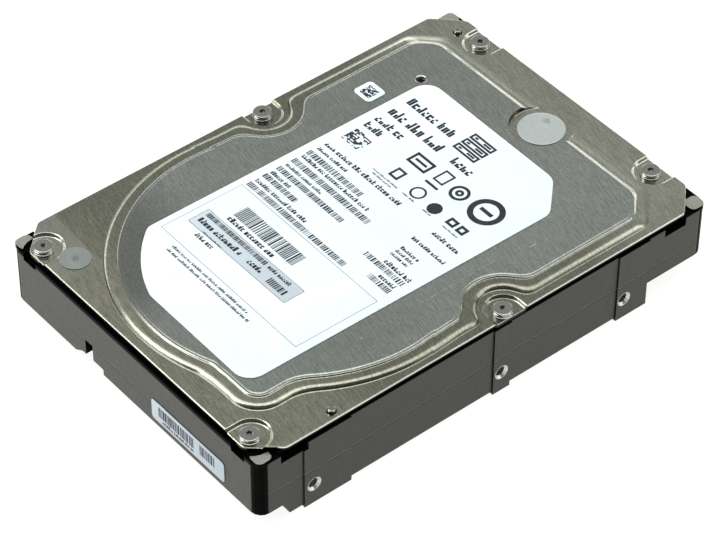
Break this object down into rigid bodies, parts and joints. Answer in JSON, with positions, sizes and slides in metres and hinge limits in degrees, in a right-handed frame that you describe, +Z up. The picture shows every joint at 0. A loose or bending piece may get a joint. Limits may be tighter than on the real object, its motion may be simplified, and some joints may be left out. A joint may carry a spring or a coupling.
{
  "type": "hard disk drive",
  "caption": "Desktop-size hard disk drive: black cast base, pressed steel cover with labels, board and connector underneath, platters and actuator inside.",
  "frame": {"origin": "middle of the footprint, in the plane of the mounting bosses' undersides", "axes": "+X across the width, +Y along the length towards the connector end, +Z up with the cover on top"},
  "size_m": [0.1016, 0.147, 0.0261],
  "materials": {
    "casting": "cast, satin black electro-coat, machined on top of the corner pads",
    "cover_steel": "brushed stainless sheet",
    "gasket": "matt",
    "screw_plate": "bright nickel plate",
    "bright_steel": "ground",
    "label_paper": "satin coated label stock",
    "strip_paper": "satin coated label stock",
    "silver_foil": "satin foil",
    "solder_mask": "glossy solder mask over glass laminate",
    "grey_foam": "matt foam",
    "chip_epoxy": "moulded epoxy",
    "black_plastic": "moulded, fine texture",
    "machined_aluminium": "turned and milled",
    "copper_wire": "enamelled copper winding",
    "yoke_plate": "nickel plated steel",
    "magnet_plate": "nickel plated magnet",
    "ivory_plastic": "moulded",
    "flex_film": "amber film",
    "filter_fibre": "felted fibre",
    "stop_rubber": "matt",
    "platter_mirror": "polished",
    "suspension_steel": "thin spring steel"
  },
  "bodies": {
    "base": {"base_casting": "casting", "top_cover": "cover_steel", "cover_gasket": "gasket", "cover_screw_1": "screw_plate", "cover_screw_2": "screw_plate", "cover_screw_3": "screw_plate", "cover_screw_4": "screw_plate", "cover_screw_5": "screw_plate", "cover_screw_6": "screw_plate", "locating_pin_1": "bright_steel", "locating_pin_2": "bright_steel", "spindle_top_screw": "screw_plate", "pivot_top_screw": "screw_plate", "yoke_screw": "screw_plate", "main_label": "label_paper", "strip_label": "strip_paper", "code_sticker": "label_paper", "front_barcode_label": "label_paper", "large_round_seal": "silver_foil", "small_round_seal": "silver_foil", "circuit_board": "solder_mask", "board_insulator": "grey_foam", "controller_chip": "chip_epoxy", "memory_chip": "chip_epoxy", "motor_driver_chip": "chip_epoxy", "board_screw_1": "screw_plate", "board_screw_2": "screw_plate", "board_screw_3": "screw_plate", "board_screw_4": "screw_plate", "interface_connector": "black_plastic", "jumper_pin_block": "black_plastic", "motor_flange": "machined_aluminium", "motor_stator": "copper_wire", "spindle_shaft": "bright_steel", "yoke_lower": "yoke_plate", "yoke_upper": "yoke_plate", "magnet_lower": "magnet_plate", "magnet_upper": "magnet_plate", "pivot_shaft": "bright_steel", "load_ramp": "ivory_plastic", "flex_bracket": "black_plastic", "flex_circuit": "flex_film", "breather_filter": "filter_fibre", "recirculation_filter": "filter_fibre", "crash_stop": "stop_rubber", "latch_pin": "bright_steel"},
    "disk_pack": {"spindle_hub": "machined_aluminium", "rotor_magnet": "magnet_plate", "platter_lower": "platter_mirror", "platter_upper": "platter_mirror", "platter_spacer": "machined_aluminium", "disk_clamp": "bright_steel"},
    "actuator": {"arm_block": "machined_aluminium", "pivot_bearing": "bright_steel", "voice_coil": "copper_wire", "head_suspension_1": "suspension_steel", "head_suspension_2": "suspension_steel", "head_suspension_3": "suspension_steel", "head_suspension_4": "suspension_steel"},
    "latch": {"actuator_latch": "ivory_plastic"}
  },
  "joints": [
    {"name": "spindle_spin", "type": "hinge", "parent": "base", "child": "disk_pack", "pos_m": [0, -0.021, 0.0168], "axis": [0, 0, 1], "continuous": true},
    {"name": "actuator_swing", "type": "hinge", "parent": "base", "child": "actuator", "pos_m": [-0.021, 0.03, 0.0168], "axis": [0, 0, -1], "range_deg": [0, 38]},
    {"name": "latch_swing", "type": "hinge", "parent": "base", "child": "latch", "pos_m": [-0.038, 0.017, 0.0161], "axis": [0, 0, -1], "range_deg": [0, 18]}
  ]
}
